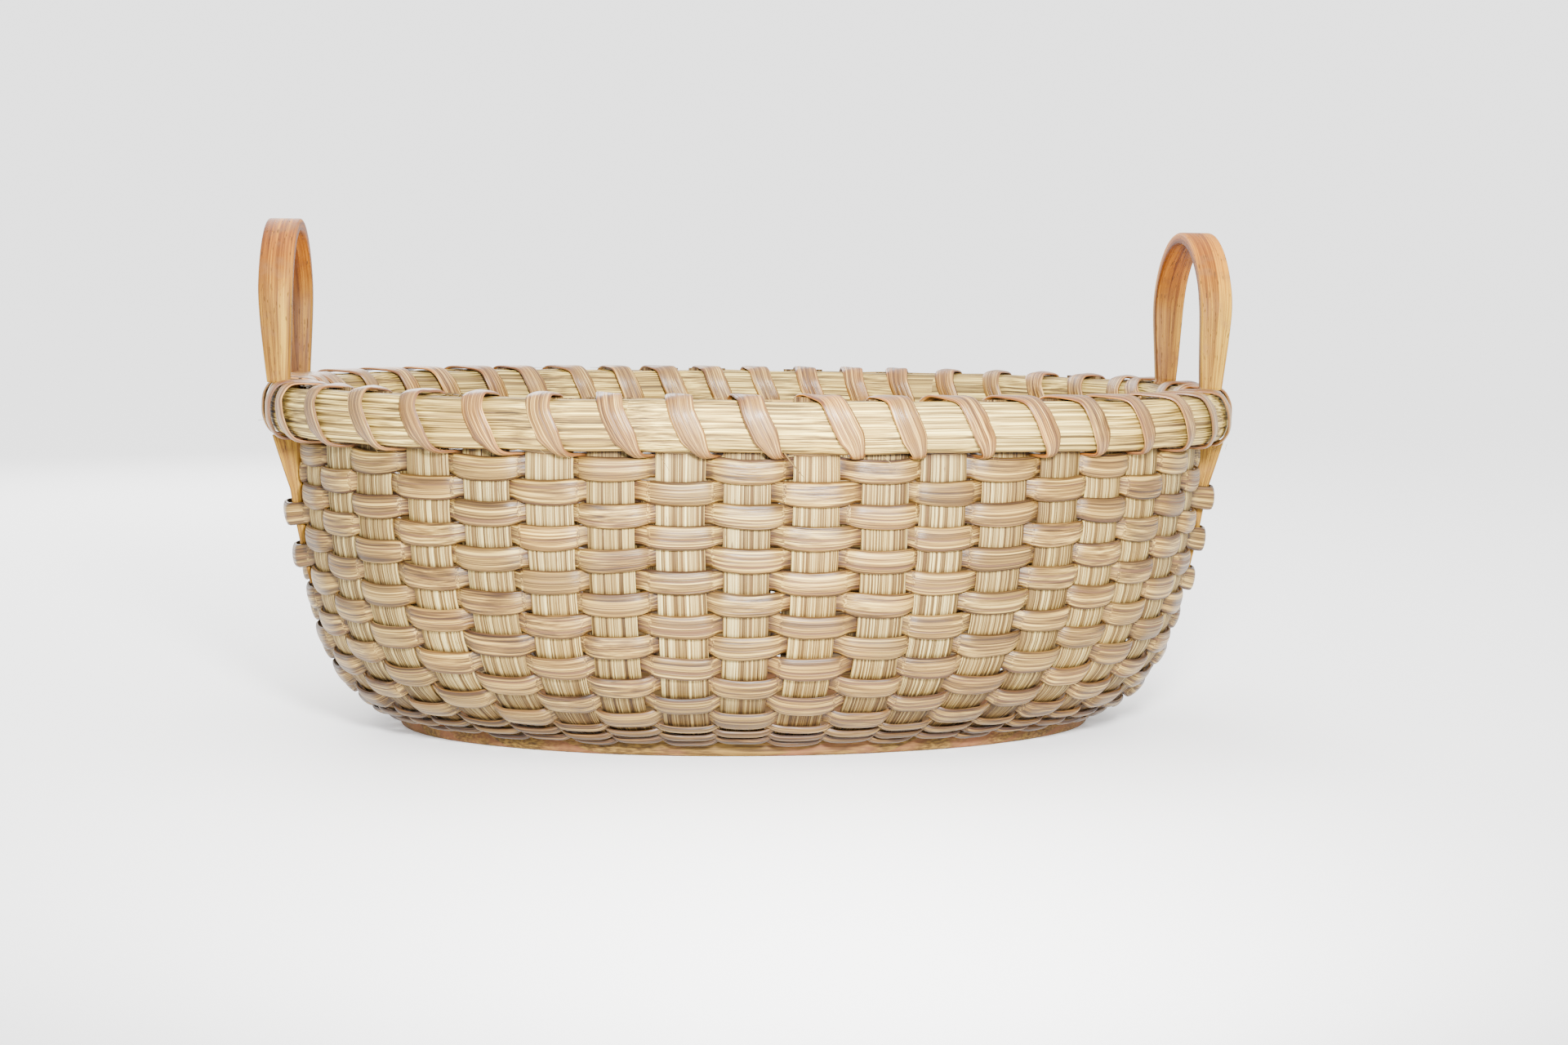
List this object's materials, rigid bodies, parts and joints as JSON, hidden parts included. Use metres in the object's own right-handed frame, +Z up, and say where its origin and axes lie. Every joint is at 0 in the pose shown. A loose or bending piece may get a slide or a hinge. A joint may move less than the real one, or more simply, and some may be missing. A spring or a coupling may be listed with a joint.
{
  "type": "woven wicker basket",
  "caption": "Long oval basket woven of flat reed round upright stakes on a wooden board, with a lashed rim and two bentwood end handles.",
  "frame": {"origin": "middle of the board's underside, on the surface that the basket stands on", "axes": "+X from handle to handle, +Y across the basket, +Z up"},
  "size_m": [0.574, 0.3542, 0.3],
  "materials": {
    "board_wood": "sanded, bare",
    "stake_reed": "coarse, bare",
    "weaver_reed": "smooth, bare",
    "rim_reed": "smooth, bare",
    "lashing_reed": "smooth, bare",
    "handle_wood": "sanded, bare"
  },
  "bodies": {
    "root": {"base_board": "board_wood", "stake_pair_01": "stake_reed", "stake_pair_02": "stake_reed", "stake_pair_03": "stake_reed", "stake_pair_04": "stake_reed", "stake_pair_05": "stake_reed", "stake_pair_06": "stake_reed", "stake_pair_07": "stake_reed", "stake_pair_08": "stake_reed", "stake_pair_09": "stake_reed", "stake_pair_10": "stake_reed", "stake_pair_11": "stake_reed", "stake_pair_12": "stake_reed", "stake_pair_13": "stake_reed", "stake_pair_14": "stake_reed", "stake_pair_15": "stake_reed", "stake_pair_16": "stake_reed", "stake_pair_17": "stake_reed", "stake_pair_18": "stake_reed", "stake_pair_19": "stake_reed", "stake_pair_20": "stake_reed", "stake_pair_21": "stake_reed", "stake_pair_22": "stake_reed", "locking_row_1": "weaver_reed", "locking_row_2": "weaver_reed", "locking_row_3": "weaver_reed", "locking_row_4": "weaver_reed", "locking_row_5": "weaver_reed", "weaver_row_01": "weaver_reed", "weaver_row_02": "weaver_reed", "weaver_row_03": "weaver_reed", "weaver_row_04": "weaver_reed", "weaver_row_05": "weaver_reed", "weaver_row_06": "weaver_reed", "weaver_row_07": "weaver_reed", "weaver_row_08": "weaver_reed", "weaver_row_09": "weaver_reed", "weaver_row_10": "weaver_reed", "weaver_row_11": "weaver_reed", "weaver_row_12": "weaver_reed", "weaver_row_13": "weaver_reed", "rim_row": "weaver_reed", "outer_rim": "rim_reed", "inner_rim": "rim_reed", "rim_lashing": "lashing_reed", "right_handle": "handle_wood", "left_handle": "handle_wood"}
  },
  "joints": []
}
